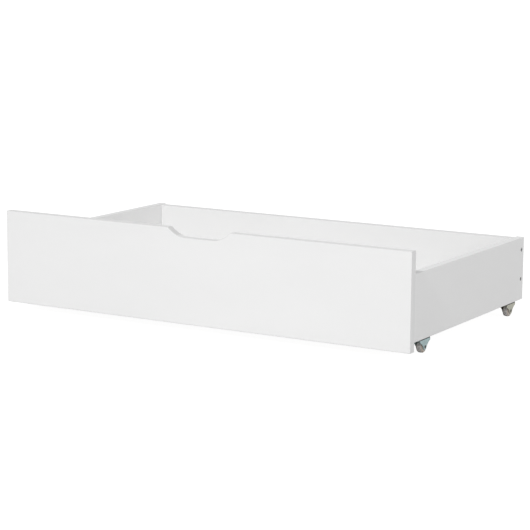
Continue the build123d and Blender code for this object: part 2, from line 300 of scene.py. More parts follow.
def axle_points(node, outward, shaft):
    """A rivet: a domed head on the outer leg, a plain shaft and a clinched head on the inner, which
    is a rounded ring about a shallow dent."""
    size = box_size(node)
    head = size.z / 2
    half = size.x / 2
    proud = 1.2 * MM
    # depth in millimetres, and distance from the middle as a share of the head's radius
    ring = np.array([(0.35, 0), (0.3, 0.25), (0, 0.45), (0.1, 0.72), (0.5, 0.95)]) * (MM, head)
    clinched = np.concatenate([ring, [(proud, head), (proud, shaft)]]) - (half, 0)
    dome_radius = (head ** 2 + proud ** 2) / (2 * proud)
    sweep = math.degrees(math.asin(head / dome_radius))
    dome = arc((half - dome_radius, 0), dome_radius, sweep, 0, 9)
    profile = np.concatenate([clinched, [(half - proud, shaft), (half - proud, head)], dome])
    return lathe(box_middle(node), (outward, 0, 0), profile[:, 0], profile[:, 1], 40)


# ---- screws, bolts and dowels ----

def cross_shape(angle, reach, width):
    """The edge of a cross recess as a radius for each angle: arms of half-width width and length
    reach, found by folding the angle into one eighth of a turn."""
    folded = np.abs((angle + math.pi / 4) % (math.pi / 2) - math.pi / 4)
    return np.minimum(reach / np.cos(folded), width / np.maximum(np.sin(folded), 1e-6))


def hexagon_shape(angle, flat):
    """The edge of a hexagon as a radius for each angle, flat being half its width across flats."""
    return flat / np.cos((angle + math.pi / 6) % (math.pi / 3) - math.pi / 6)


def thread_rows(start, end, core, height, pitch, angle):
    """Rows of a screw thread: the radius is the core plus a sharp ridge wherever the distance
    along, less the pitch times the share of a turn, is near a whole pitch. It fades at both ends."""
    along = np.arange(start, end, pitch / 8)
    phase = (along[:, None] / pitch - angle / (2 * math.pi)) % 1
    ridge = np.clip(1 - np.abs(phase - 0.5) / 0.3, 0, 1)
    fade = smoothstep(start, start + pitch, along) * smoothstep(end, end - pitch, along)
    return along, core + height * ridge * fade[:, None]


def screw_points(start, axis, head_rows, recess, recess_depth, core, thread_start, length, pitch):
    """A screw from its recess, over its head and down its threaded shank to a cone point.

    The recess is a flat floor, a wall that follows its outline and a crisp edge. head_rows are
    (along, radius) rings from the recess to the shank.
    """
    segments = len(recess)
    angle = np.linspace(0, 2 * math.pi, segments, endpoint=False)
    flat = np.ones(segments)
    along = [flat * recess_depth, flat * recess_depth, flat * 0.05 * MM, 0 * flat]
    radius = [0 * flat, 0.86 * recess, recess, recess + 0.06 * MM]
    for row_along, row_radius in head_rows:
        along.append(flat * row_along)
        radius.append(flat * row_radius)
    tip = length - 1.6 * core
    thread_along, thread_radius = thread_rows(thread_start, tip, core, 0.28 * core, pitch, angle)
    along = np.concatenate([along, thread_along[:, None] * flat, [flat * tip, flat * length]])
    radius = np.concatenate([radius, thread_radius, [flat * core * 0.95, 0 * flat]])
    return lathe(start, axis, along, radius, segments)


def outer_end(box, axis):
    """The middle of the end of a box that an axis starts from."""
    low, high = box
    start = (low + high) / 2
    for i, step in enumerate(axis):
        if step:
            start[i] = low[i] if step > 0 else high[i]
    return start


def span(box, axis):
    """A box's length along an axis and half its width across it."""
    size = box[1] - box[0]
    along = max(range(3), key=lambda i: abs(axis[i]))
    return size[along], size[(along + 1) % 3] / 2


def corner_screw_points(box, axis, pitch):
    """A flat-headed connecting screw with a hexagon socket: the head is a bevelled disc that tapers
    to the shank."""
    length, head = span(box, axis)
    angle = np.linspace(0, 2 * math.pi, 48, endpoint=False)
    core, bevel = 0.48 * head, 0.35 * MM
    disc_end, taper_end, thread_start = 1.8 * MM, 3.6 * MM, 5.0 * MM
    socket_half, socket_depth = 2.0 * MM, 2.0 * MM
    rows = [(0, head - 2 * bevel), (0.08 * MM, head - bevel), (bevel, head), (disc_end, head),
            (taper_end, core), (0.9 * thread_start, core)]
    return screw_points(outer_end(box, axis), axis, rows, hexagon_shape(angle, socket_half),
                        socket_depth, core, thread_start, length, pitch)


def pan_screw_points(box, axis, head_height, core, pitch):
    """A pan-headed wood screw with a cross recess: the crown is a quarter of an ellipse that runs
    from the recess's rim to the edge of the head."""
    length, head = span(box, axis)
    angle = np.linspace(0, 2 * math.pi, 48, endpoint=False)
    flat_top, crown_height = 0.52 * head, 0.85 * head_height
    crown = arc((1, 0), 1, 180, 90, 8) * (crown_height, head - flat_top) + (0, flat_top)
    rows = [*crown.tolist(), (head_height, head * 0.99), (head_height, core)]
    recess = cross_shape(angle, 0.5 * head, 0.15 * head)
    return screw_points(outer_end(box, axis), axis, rows, recess, 0.7 * head_height, core,
                        head_height + 0.2 * MM, length, pitch)


def cam_bolt_points(box, pitch, thread_length):
    """A cam's bolt: a threaded end in the front panel, a plain shank, a neck and a button head."""
    axis, segments = (0, 1, 0), 40
    length = span(box, axis)[0]
    core, shank, neck, button = 2.4 * MM, 2.8 * MM, 2.1 * MM, 3.4 * MM
    flange_end = thread_length + 0.8 * MM
    neck_start, neck_end = length - 6.4 * MM, length - 2.6 * MM
    angle = np.linspace(0, 2 * math.pi, segments, endpoint=False)
    flat = np.ones(segments)
    thread_along, thread_radius = thread_rows(0.6 * MM, thread_length, core, 0.6 * MM, pitch, angle)
    plain = [(thread_length, core), (thread_length, button), (flange_end, button), (flange_end, shank),
             (neck_start - 0.6 * MM, shank), (neck_start, neck), (neck_end, neck),
             (neck_end, button - 0.4 * MM), (neck_end + 0.4 * MM, button),
             (length - 0.5 * MM, button), (length, shank), (length, 0)]
    along = np.concatenate([[0 * flat, 0 * flat], thread_along[:, None] * flat,
                            [flat * row[0] for row in plain]])
    radius = np.concatenate([[0 * flat, flat * (core - 0.4 * MM)], thread_radius,
                             [flat * row[1] for row in plain]])
    return lathe(outer_end(box, axis), axis, along, radius, segments)


def dowel_points(box, axis, flutes):
    """A fluted dowel: the radius dips by a cosine of flutes times the angle, and both ends are
    chamfered to a plain round."""
    length, radius = span(box, axis)
    segments = max(6 * flutes, 24)
    angle = np.linspace(0, 2 * math.pi, segments, endpoint=False)
    chamfer = 1.0 * MM
    along = np.array([0, 0, chamfer, 1.6 * chamfer, 3 * chamfer, length - 3 * chamfer,
                      length - 1.6 * chamfer, length - chamfer, length, length])
    plain = np.array([0, radius - chamfer, radius, radius, radius, radius, radius, radius,
                      radius - chamfer, 0])
    dip = np.array([0, 0, 0, 0.5, 1, 1, 0.5, 0, 0, 0]) * 0.3 * MM
    ring = plain[:, None] - dip[:, None] * (0.5 - 0.5 * np.cos(flutes * angle)) ** 2
    return lathe(outer_end(box, axis), axis, along, ring, segments)


# ---- material building ----

class Nodes:
    """Adds nodes to a node tree and joins them up."""

    def __init__(self, tree):
        self.tree = tree

    def add(self, kind, settings=None, **inputs):
        """Adds a node. settings are its own properties; inputs are sockets by name or position."""
        node = self.tree.nodes.new(kind)
        for key, value in (settings or {}).items():
            setattr(node, key, value)
        for key, value in inputs.items():
            socket = node.inputs[int(key[1:])] if key[0] == "_" else node.inputs[key.replace("_", " ")]
            self.feed(socket, value)
        return node

    def feed(self, socket, value):
        """Links an output to a socket, or sets the socket to a plain value."""
        if isinstance(value, bpy.types.NodeSocket):
            self.tree.links.new(value, socket)
        else:
            socket.default_value = value

    def math(self, operation, first, second=0.0, third=0.0):
        node = self.add("ShaderNodeMath", {"operation": operation}, _0=first, _1=second, _2=third)
        return node.outputs[0]

    def ramp(self, value, low, high, start=0.0, end=1.0):
        """A smooth change from start to end as value goes from low to high."""
        node = self.add("ShaderNodeMapRange", {"interpolation_type": "SMOOTHSTEP"}, Value=value,
                        From_Min=low, From_Max=high, To_Min=start, To_Max=end)
        return node.outputs[0]

    def noise(self, vector, scale, detail=3.0, roughness=0.5):
        node = self.add("ShaderNodeTexNoise", Vector=vector, Scale=scale, Detail=detail,
                        Roughness=roughness)
        return node.outputs["Fac"]

    def stretch(self, vector, scale):
        node = self.add("ShaderNodeMapping", Vector=vector, Scale=scale)
        return node.outputs[0]

    def blend(self, factor, first, second):
        node = self.add("ShaderNodeMix", {"data_type": "RGBA"}, _0=factor, _6=first, _7=second)
        return node.outputs[2]

    def bump(self, height, strength, distance):
        node = self.add("ShaderNodeBump", Strength=strength, Distance=distance, Height=height)
        return node.outputs[0]


def colour(value, shade=1.0):
    """A node colour from an RGB triple, darker or lighter by shade."""
    return (value[0] * shade, value[1] * shade, value[2] * shade, 1.0)


def new_group(name, inputs, outputs):
    """A shader node group with named sockets; returns its Nodes and its two end nodes."""
    tree = bpy.data.node_groups.new(name, "ShaderNodeTree")
    for kind, label, default in inputs:
        socket = tree.interface.new_socket(name=label, in_out="INPUT", socket_type=kind)
        if default is not None:
            socket.default_value = default
    for kind, label in outputs:
        tree.interface.new_socket(name=label, in_out="OUTPUT", socket_type=kind)
    return Nodes(tree), tree.nodes.new("NodeGroupInput").outputs, tree.nodes.new("NodeGroupOutput").inputs


def group_eased_edge():
    """Masks from the surface's direction: where a board's arris is rounded, and its sawn edges."""
    n, given, out = new_group("eased edge", [
        ("NodeSocketVector", "Normal", None),
        ("NodeSocketVector", "Face Axis", (0, 1, 0)),
    ], [("NodeSocketFloat", "Arris"), ("NodeSocketFloat", "Sawn Edge")])
    split = n.add("ShaderNodeSeparateXYZ", Vector=given["Normal"])
    sizes = [n.math("ABSOLUTE", split.outputs[i]) for i in range(3)]
    largest = n.math("MAXIMUM", n.math("MAXIMUM", sizes[0], sizes[1]), sizes[2])
    n.feed(out["Arris"], n.ramp(largest, 0.9, 0.995, 1.0, 0.0))
    facing = n.add("ShaderNodeVectorMath", {"operation": "DOT_PRODUCT"},
                   _0=given["Normal"], _1=given["Face Axis"])
    n.feed(out["Sawn Edge"], n.ramp(n.math("ABSOLUTE", facing.outputs["Value"]), 0.3, 0.8, 1.0, 0.0))
    return n.tree


def group_sprayed_paint():
    """A sprayed film: fine orange peel, wide tone changes and a few dust nibs under the film."""
    n, given, out = new_group("sprayed paint", [
        ("NodeSocketVector", "Vector", None),
        ("NodeSocketFloat", "Peel Size", 0.0016),
        ("NodeSocketFloat", "Nib Size", 0.0008),
    ], [("NodeSocketFloat", "Peel"), ("NodeSocketFloat", "Tone"), ("NodeSocketFloat", "Nibs")])
    peel_scale = n.math("DIVIDE", 1.0, given["Peel Size"])
    peel = n.noise(given["Vector"], peel_scale, 2.0, 0.45)
    n.feed(out["Peel"], peel)
    wide = n.noise(n.stretch(given["Vector"], (1.0, 2.0, 3.0)), 3.2, 3.0, 0.55)
    n.feed(out["Tone"], n.ramp(wide, 0.3, 0.7))
    nibs_per_metre = 26.0
    cells = n.add("ShaderNodeTexVoronoi", {"feature": "F1"}, Vector=given["Vector"],
                  Scale=nibs_per_metre)
    nib_edge = n.math("MULTIPLY", given["Nib Size"], nibs_per_metre)
    n.feed(out["Nibs"], n.ramp(cells.outputs["Distance"], 0.0, nib_edge, 1.0, 0.0))
    return n.tree


def group_settled_dust():
    """A faint film of dust on what faces up, in soft patches."""
    n, given, out = new_group("settled dust", [
        ("NodeSocketVector", "Normal", None),
        ("NodeSocketVector", "Vector", None),
        ("NodeSocketFloat", "Patch Size", 0.03),
    ], [("NodeSocketFloat", "Dust")])
    split = n.add("ShaderNodeSeparateXYZ", Vector=given["Normal"])
    facing_up = n.ramp(split.outputs[2], 0.5, 1.0)
    patches = n.noise(given["Vector"], n.math("DIVIDE", 1.0, given["Patch Size"]), 5.0, 0.6)
    n.feed(out["Dust"], n.math("MULTIPLY", facing_up, n.ramp(patches, 0.35, 0.75)))
    return n.tree


def group_plated_steel():
    """Zinc plate on pressed steel: cloudy colour, small crystals and drawn scratches."""
    n, given, out = new_group("plated steel", [
        ("NodeSocketVector", "Vector", None),
        ("NodeSocketFloat", "Cloud Size", 0.008),
        ("NodeSocketVector", "Draw Scale", (1, 12, 12)),
    ], [("NodeSocketFloat", "Cloud"), ("NodeSocketFloat", "Grain"), ("NodeSocketFloat", "Scratches")])
    cloud = n.noise(given["Vector"], n.math("DIVIDE", 1.0, given["Cloud Size"]), 4.0, 0.6)
    n.feed(out["Cloud"], n.ramp(cloud, 0.32, 0.68))
    cells = n.add("ShaderNodeTexVoronoi", {"feature": "F1"}, Vector=given["Vector"], Scale=900.0)
    n.feed(out["Grain"], cells.outputs["Distance"])
    drawn = n.add("ShaderNodeVectorMath", {"operation": "MULTIPLY"},
                  _0=given["Vector"], _1=given["Draw Scale"])
    n.feed(out["Scratches"], n.noise(drawn.outputs[0], 260.0, 4.0, 0.65))
    return n.tree


def new_material(name):
    """A material with a Principled shader and object coordinates; returns what builds on them."""
    material = bpy.data.materials.new(name)
    material.use_nodes = True
    n = Nodes(material.node_tree)
    shader = material.node_tree.nodes["Principled BSDF"]
    place = n.add("ShaderNodeTexCoord")
    return material, n, shader, place.outputs["Object"], place.outputs["Normal"]


def use_group(n, name, **inputs):
    """Places a node group, with its own values, and returns its outputs."""
    node = n.add("ShaderNodeGroup", {"node_tree": bpy.data.node_groups[name]})
    for key, value in inputs.items():
        n.feed(node.inputs[key.replace("_", " ")], value)
    return node.outputs


def painted_board(name, face_axis, look, sawn_painted_shade, arris_painted_shade):
    """Satin white paint on fibreboard, rougher on the sawn edges; sawn edges and arrises get painted shade.
    """
    material, n, shader, place, normal = new_material(name)
    edge = use_group(n, "eased edge", Normal=normal, Face_Axis=face_axis)
    paint = use_group(n, "sprayed paint", Vector=place, Peel_Size=look.peel_size)
    dust = use_group(n, "settled dust", Normal=normal, Vector=place)
    toned = n.blend(paint["Tone"], colour(look.paint, 0.985), colour(look.paint))
    # painted shade: the sawn edges, then the arrises, are greyed to stand for the shade they show
    edged = n.blend(edge["Sawn Edge"], toned, colour(look.paint, sawn_painted_shade))
    eased = n.blend(n.math("MULTIPLY", edge["Arris"], 0.9), edged, colour(look.paint, arris_painted_shade))
    n.feed(shader.inputs["Base Color"],
           n.blend(n.math("MULTIPLY", dust["Dust"], 0.05), eased, colour(look.dust)))
    rough = n.math("MULTIPLY_ADD", paint["Tone"], 0.06, look.paint_roughness)
    rough = n.math("MULTIPLY_ADD", edge["Sawn Edge"], 0.12, rough)
    n.feed(shader.inputs["Roughness"], n.math("MULTIPLY_ADD", dust["Dust"], 0.08, rough))
    fibres = n.noise(place, 1400.0, 3.0, 0.6)
    height = n.math("MULTIPLY_ADD", n.math("MULTIPLY", edge["Sawn Edge"], fibres), 0.5, paint["Peel"])
    height = n.math("MULTIPLY_ADD", paint["Nibs"], 0.8, height)
    n.feed(shader.inputs["Normal"], n.bump(height, 0.35, 0.03 * MM))
    shader.inputs["IOR"].default_value = 1.48
    return material


def base_hardboard(look):
    """Thin hardboard: white lacquer above, brown mesh-backed board below and on its edges."""
    material, n, shader, place, normal = new_material("base hardboard")
    split = n.add("ShaderNodeSeparateXYZ", Vector=normal)
    above = n.ramp(split.outputs[2], 0.3, 0.6)
    paint = use_group(n, "sprayed paint", Vector=place, Peel_Size=look.peel_size)
    dust = use_group(n, "settled dust", Normal=normal, Vector=place)
    fibres = n.noise(n.stretch(place, (1.0, 2.5, 1.0)), 260.0, 5.0, 0.7)
    flecks = n.ramp(n.noise(place, 900.0, 2.0, 0.6), 0.55, 0.7)
    brown = n.blend(n.ramp(fibres, 0.3, 0.7), colour(look.hardboard, 0.72), colour(look.hardboard, 1.12))
    brown = n.blend(n.math("MULTIPLY", flecks, 0.5), brown, colour(look.hardboard, 0.45))
    white = n.blend(paint["Tone"], colour(look.paint, 0.97), colour(look.paint))
    white = n.blend(n.math("MULTIPLY", dust["Dust"], 0.15), white, colour(look.dust))
    n.feed(shader.inputs["Base Color"], n.blend(above, brown, white))
    n.feed(shader.inputs["Roughness"], n.math("MULTIPLY_ADD", above, -0.35, 0.82))
    mesh_back = [n.math("SINE", n.math("MULTIPLY", axis, 2 * math.pi / (1.6 * MM)))
                 for axis in n.add("ShaderNodeSeparateXYZ", Vector=place).outputs[:2]]
    woven = n.math("MULTIPLY", n.math("MULTIPLY", mesh_back[0], mesh_back[1]), 0.5)
    rough_side = n.math("ADD", woven, fibres)
    height = n.add("ShaderNodeMix", {"data_type": "FLOAT"}, _0=above, _2=rough_side,
                   _3=n.math("MULTIPLY", paint["Peel"], 0.2)).outputs[0]
    n.feed(shader.inputs["Normal"], n.bump(height, 0.6, 0.15 * MM))
    return material


def zinc_plate(name, tint, roughness, draw_scale, bend_shadow=None):
    """Plated steel with a cloudy passivated tint and drawn scratches. With a bend shadow colour, the
    outside of an upper bend is darkened by it: a painted shadow where the board above shades it."""
    material, n, shader, place, normal = new_material(name)
    plate = use_group(n, "plated steel", Vector=place, Draw_Scale=draw_scale)
    cloudy = n.blend(plate["Cloud"], colour(tint, 0.92), colour(tint, 1.06))
    plated = n.blend(n.math("MULTIPLY", plate["Grain"], 0.35), cloudy, colour(tint, 0.72))
    # painted shadow: the outside of the upper bend goes near black, for the shade under the board
    if bend_shadow:
        split = n.add("ShaderNodeSeparateXYZ", Vector=normal)
        bend = n.math("MULTIPLY", n.ramp(split.outputs[2], 0.05, 0.5),
                      n.ramp(split.outputs[2], 0.96, 0.999, 1.0, 0.0))
        plated = n.blend(bend, plated, colour(bend_shadow))
    n.feed(shader.inputs["Base Color"], plated)
    rough = n.math("MULTIPLY_ADD", plate["Scratches"], 0.16, roughness)
    n.feed(shader.inputs["Roughness"], n.math("MULTIPLY_ADD", plate["Cloud"], 0.08, rough))
    height = n.math("MULTIPLY_ADD", plate["Grain"], 0.5, plate["Scratches"])
    n.feed(shader.inputs["Normal"], n.bump(height, 0.4, 0.02 * MM))
    shader.inputs["Metallic"].default_value = 1.0
    return material


def dark_steel(name, base, roughness):
    """Black-coated steel, rubbed brighter here and there."""
    material, n, shader, place, _ = new_material(name)
    plate = use_group(n, "plated steel", Vector=place, Cloud_Size=0.003, Draw_Scale=(6, 6, 6))
    n.feed(shader.inputs["Base Color"], n.blend(plate["Cloud"], colour(base, 0.75), colour(base, 1.35)))
    n.feed(shader.inputs["Roughness"], n.math("MULTIPLY_ADD", plate["Scratches"], 0.2, roughness))
    n.feed(shader.inputs["Normal"], n.bump(plate["Scratches"], 0.4, 0.02 * MM))
    shader.inputs["Metallic"].default_value = 0.85
    return material


def wheel_plastic(look):
    """Grey plastic, browner up the shoulders; lighter matt scuff streaks on the tread are partly painted
    highlight.
    """
    material, n, shader, place, normal = new_material("wheel plastic")
    split = n.add("ShaderNodeSeparateXYZ", Vector=normal)
    sideways = n.math("ABSOLUTE", split.outputs[0])
    tread = n.ramp(sideways, 0.05, 0.35, 1.0, 0.0)
    streaks = n.noise(n.stretch(place, (6.0, 1.0, 1.0)), 240.0, 4.0, 0.65)
    clouds = n.ramp(n.noise(place, 160.0, 3.0, 0.5), 0.3, 0.7)
    # scuff wear on the tread, lightened also to stand as a painted highlight
    scuffs_and_highlight = n.math("MULTIPLY", tread, n.ramp(streaks, 0.45, 0.7))
    base = n.blend(clouds, colour(look.wheel, 0.92), colour(look.wheel, 1.05))
    # darker and browner up the shoulders and sides of the wheel
    browned = n.math("MULTIPLY", n.ramp(sideways, 0.3, 0.75), n.ramp(sideways, 0.97, 1.0, 1.0, 0.45))
    base = n.blend(n.math("MULTIPLY", browned, 0.75), base, colour(look.rim))
    scuffed_and_highlit = n.blend(n.math("MULTIPLY", scuffs_and_highlight, 0.5), base, colour(look.wheel, 1.18))
    n.feed(shader.inputs["Base Color"], scuffed_and_highlit)
    rough = n.math("MULTIPLY_ADD", scuffs_and_highlight, 0.2, 0.36)
    n.feed(shader.inputs["Roughness"], n.math("MULTIPLY_ADD", clouds, 0.06, rough))
    n.feed(shader.inputs["Normal"], n.bump(n.math("MULTIPLY_ADD", streaks, 0.6, clouds), 0.3, 0.04 * MM))
    return material


def beech(look):
    """Plain beech: long pale grain with short dark flecks."""
    material, n, shader, place, _ = new_material("beech dowel")
    grain = n.noise(n.stretch(place, (1.0, 0.12, 1.0)), 900.0, 4.0, 0.6)
    flecks = n.ramp(n.noise(n.stretch(place, (1.0, 0.25, 1.0)), 2200.0, 2.0, 0.5), 0.6, 0.72)
    base = n.blend(n.ramp(grain, 0.3, 0.7), colour(look.beech, 0.85), colour(look.beech, 1.1))
    flecked = n.blend(n.math("MULTIPLY", flecks, 0.6), base, colour(look.beech, 0.55))
    n.feed(shader.inputs["Base Color"], flecked)
    n.feed(shader.inputs["Roughness"], n.math("MULTIPLY_ADD", grain, 0.2, 0.55))
    n.feed(shader.inputs["Normal"], n.bump(grain, 0.3, 0.05 * MM))
    return material


# ---- what a user would change ----

def tint(name, description, default):
    """A colour property."""
    return FloatVectorProperty(name=name, description=description, subtype="COLOR", size=3, min=0, max=1,
                               default=default)


def metres(name, description, default):
    """A length property."""
    return FloatProperty(name=name, description=description, unit="LENGTH", min=0.01 * MM, default=default)


def degrees(name, description, default):
    """An angle property, with its default given in degrees."""
    return FloatProperty(name=name, description=description, subtype="ANGLE",
                         default=math.radians(default))


class BoardLook(PropertyGroup):
    """Finishes of the boards and the base"""
    paint: tint("Paint", "Colour of the painted boards", (0.80, 0.80, 0.799))
    dust: tint("Dust", "Colour of settled dust", (0.62, 0.60, 0.57))
    hardboard: tint("Hardboard", "Colour of the base's bare underside", (0.40, 0.25, 0.14))
    paint_roughness: FloatProperty(name="Paint roughness", description="How matt the paint is",
                                   subtype="FACTOR", min=0, max=1, default=0.38)
    peel_size: metres("Peel size", "Width of one dimple of the sprayed paint", 0.0022)


class CastorLook(PropertyGroup):
    """Sizes and finishes of the castors"""
    wheel: tint("Wheel", "Colour of the wheel's plastic", (0.80, 0.78, 0.76))
    # the colour the wheel turns towards up its shoulders and sides
    rim: tint("Rim", "Colour of the wheel where it is soiled", (0.38, 0.29, 0.21))
    zinc_blue: tint("Zinc, blue", "Tint of the front brackets' plate", (0.59, 0.75, 0.76))
    zinc_straw: tint("Zinc, straw", "Tint of the rear brackets' plate", (0.69, 0.69, 0.59))
    # painted shadow colour, laid on the outside of the brackets' upper bends
    bend_shadow: tint("Bend shadow", "Colour of the plate round its bends", (0.055, 0.05, 0.048))
    rivet: tint("Rivet", "Colour of the axle rivet", (0.09, 0.08, 0.075))
    axle_radius: metres("Axle radius", "Radius of the axle's shaft", 0.002)
    axle_clearance: metres("Axle clearance", "Room between the axle and its bore", 0.00005)
    bend: metres("Bend", "Outer radius of the bracket's bends", 0.002)
    skirt: metres("Skirt", "Depth of the bracket's legs at their ends", 0.0065)
    flank_hollow: metres("Flank hollow", "How far the legs' flanks bow in", 0.002)
    gauge: metres("Steel gauge", "Thickness of the bracket's steel", 0.0015)
    spokes: IntProperty(name="Spokes", description="Ribs in each dished side of a wheel", min=0, default=6)
    seam: metres("Mould seam", "Height of the seam round the tread", 0.00012)


class FixingLook(PropertyGroup):
    """Sizes and finishes of the screws, cams, bolts and dowels"""
    screw: tint("Dark screws", "Colour of the corner and rail screws", (0.36, 0.36, 0.365))
    zinc: tint("Bright zinc", "Colour of the small screws and cams", (0.66, 0.67, 0.68))
    beech: tint("Beech", "Colour of the dowels", (0.62, 0.43, 0.25))
    corner_pitch: metres("Corner screw pitch", "Thread pitch of the dark screws", 0.0028)
    bolt_thread: metres("Bolt thread", "Length of a cam bolt in the front panel", 0.011)
    small_pitch: metres("Small screw pitch", "Thread pitch of the small screws", 0.0014)
    flutes: IntProperty(name="Dowel flutes", description="Grooves pressed along a dowel", min=0, default=20)


class StageLook(PropertyGroup):
    """The camera, the lights and the floor"""
    azimuth: degrees("Azimuth", "Where the camera stands, round from the front", 30.6066)
    elevation: degrees("Elevation", "How far the camera looks down", 10.0526)
    roll: degrees("Roll", "Tilt of the camera about its line of sight", 0.391)
    distance: metres("Distance", "From the camera to the middle of the box", 4.183)
    lens: FloatProperty(name="Lens", description="Focal length in millimetres", unit="CAMERA",
                        default=127.63)
    floor: tint("Floor", "Colour of the floor", (0.60, 0.60, 0.60))
    key: FloatProperty(name="Key", description="Strength of the high front light", default=1.64)
    right: FloatProperty(name="Right", description="Strength of the right light", default=0.67)
    front: FloatProperty(name="Front", description="Strength of the low front light", default=0.21)
    sky: FloatProperty(name="Surround", description="Strength of the even light all round", default=0.565)
    floor_glow: FloatProperty(name="Floor glow", description="White added to the floor as it is seen",
                              default=0.97)
    floor_seen: FloatProperty(name="Floor shade", description="Share of its shading that the floor shows",
                              subtype="FACTOR", min=0, max=1, default=0.3)


# ---- the pieces ----

def finish_node(node, material):
    """Gives a CAD node's own mesh a finish."""
    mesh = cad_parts[node].data
    mesh.materials.clear()
    mesh.materials.append(material)


class UNDERBED_OT_boards(Operator):
    """Paint the front, the sides, the back and the rail"""
    bl_idname = "underbed.boards"
    bl_label = "Painted boards"

    def execute(self, context):
        look = context.scene.underbed_boards
        # the sawn and arris values are painted shade on the board edges, deepest on the front and back
        front_back = painted_board("painted front and back", (0, 1, 0), look,
                                   sawn_painted_shade=0.94, arris_painted_shade=0.74)
        sides = painted_board("painted sides", (1, 0, 0), look, sawn_painted_shade=0.995, arris_painted_shade=0.84)
        rail = painted_board("painted rail", (0, 0, 1), look, sawn_painted_shade=0.995, arris_painted_shade=0.84)
        hardboard = base_hardboard(look)
        for node, material in (("front_panel", front_back), ("back_panel", front_back),
                               ("left_side_panel", sides), ("right_side_panel", sides),
                               ("base_centre_rail", rail), ("base_panel_left", hardboard),
                               ("base_panel_right", hardboard)):
            finish_node(node, material)
        return {"FINISHED"}


class UNDERBED_OT_castor_wheels(Operator):
    """Mould the four castor wheels"""
    bl_idname = "underbed.castor_wheels"
    bl_label = "Castor wheels"

    def execute(self, context):
        look = context.scene.underbed_castors
        material = wheel_plastic(look)
        for place in CASTORS:
            node = f"{place}_castor_wheel"
            bore_radius = look.axle_radius + look.axle_clearance
            points = wheel_points(node, bore_radius, look.seam, look.spokes)
            wheel = sheet_object(f"{place}_wheel", points, material, close_rows=True,
                                 close_columns=True, sharp_angle=50)
            finish_piece(wheel, f"{place}_wheel", "wheel_plastic", node)
        return {"FINISHED"}


class UNDERBED_OT_castor_brackets(Operator):
    """Press the four castor brackets"""
    bl_idname = "underbed.castor_brackets"
    bl_label = "Castor brackets"

    def execute(self, context):
        look = context.scene.underbed_castors
        # the bend colour paints shade on the brackets' upper bends
        drawn = {"roughness": 0.30, "draw_scale": (1, 1, 14), "bend_shadow": look.bend_shadow}
        front = zinc_plate("front castor zinc", look.zinc_blue, **drawn)
        rear = zinc_plate("rear castor zinc", look.zinc_straw, **drawn)
        for place in CASTORS:
            node = f"{place}_castor_bracket"
            points = bracket_points(node, f"{place}_castor_axle", look.bend, look.skirt, look.flank_hollow)
            material = front if place.startswith("front") else rear
            bracket = sheet_object(f"{place}_bracket", points, material, sharp_angle=60)
            wall = bracket.modifiers.new("gauge", "SOLIDIFY")
            wall.thickness = look.gauge
            wall.offset = -1
            wall.use_even_offset = True
            edge = bracket.modifiers.new("edge", "BEVEL")
            edge.width = 0.2 * MM
            edge.segments = 2
            edge.limit_method = "ANGLE"
            edge.angle_limit = math.radians(50)
            edge.harden_normals = True
            finish_piece(bracket, "box", "castor_zinc", node)
        return {"FINISHED"}


class UNDERBED_OT_castor_axles(Operator):
    """Rivet the four castor axles"""
    bl_idname = "underbed.castor_axles"
    bl_label = "Castor axles"

    def execute(self, context):
        look = context.scene.underbed_castors
        material = dark_steel("rivet steel", look.rivet, roughness=0.32)
        for place in CASTORS:
            node = f"{place}_castor_axle"
            outward = 1 if box_middle(node).x > 0 else -1
            points = axle_points(node, outward, look.axle_radius)
            axle = sheet_object(f"{place}_axle", points, material, close_columns=True)
            finish_piece(axle, "box", "rivet_steel", node)
        return {"FINISHED"}


class UNDERBED_OT_dark_screws(Operator):
    """Drive the corner screws and the rail screws"""
    bl_idname = "underbed.dark_screws"
    bl_label = "Corner and rail screws"

    def execute(self, context):
        look = context.scene.underbed_fixings
        material = dark_steel("dark screw", look.screw, roughness=0.38)
        for node in ("rear_corner_screws", "rail_screws"):
            for number, box in enumerate(islands(node), start=1):
                middle = (box[0] + box[1]) / 2
                axis = (-math.copysign(1, middle.x), 0, 0) if node == "rear_corner_screws" else (0, -1, 0)
                points = corner_screw_points(box, axis, look.corner_pitch)
                screw = sheet_object(f"{node[:-1]}_{number}", points, material, close_columns=True)
                finish_piece(screw, "box", "dark_screw", node)
        return {"FINISHED"}


class UNDERBED_OT_small_screws(Operator):
    """Drive the base screws and the castor screws"""
    bl_idname = "underbed.small_screws"
    bl_label = "Base and castor screws"

    def execute(self, context):
        look = context.scene.underbed_fixings
        material = zinc_plate("bright zinc", look.zinc, roughness=0.26, draw_scale=(8, 8, 8))
        for node, axis, head_height, core in (
                ("base_screws", (0, 0, -1), 1.6 * MM, 1.2 * MM),
                ("castor_screws", (0, 0, 1), 2.0 * MM, 1.4 * MM)):
            for number, box in enumerate(islands(node), start=1):
                points = pan_screw_points(box, axis, head_height, core, look.small_pitch)
                screw = sheet_object(f"{node[:-1]}_{number}", points, material, close_columns=True)
                finish_piece(screw, "box", "zinc", node)
        return {"FINISHED"}


class UNDERBED_OT_cams(Operator):
    """Finish the cams and turn their bolts"""
    bl_idname = "underbed.cams"
    bl_label = "Cams and bolts"

    def execute(self, context):
        look = context.scene.underbed_fixings
        material = zinc_plate("cast zinc", look.zinc, roughness=0.36, draw_scale=(3, 3, 3))
        finish_node("cam_locks", material)
        for number, box in enumerate(islands("cam_bolts"), start=1):
            points = cam_bolt_points(box, look.corner_pitch, look.bolt_thread)
            bolt = sheet_object(f"cam_bolt_{number}", points, material, close_columns=True)
            finish_piece(bolt, "box", "zinc", "cam_bolts")
        return {"FINISHED"}


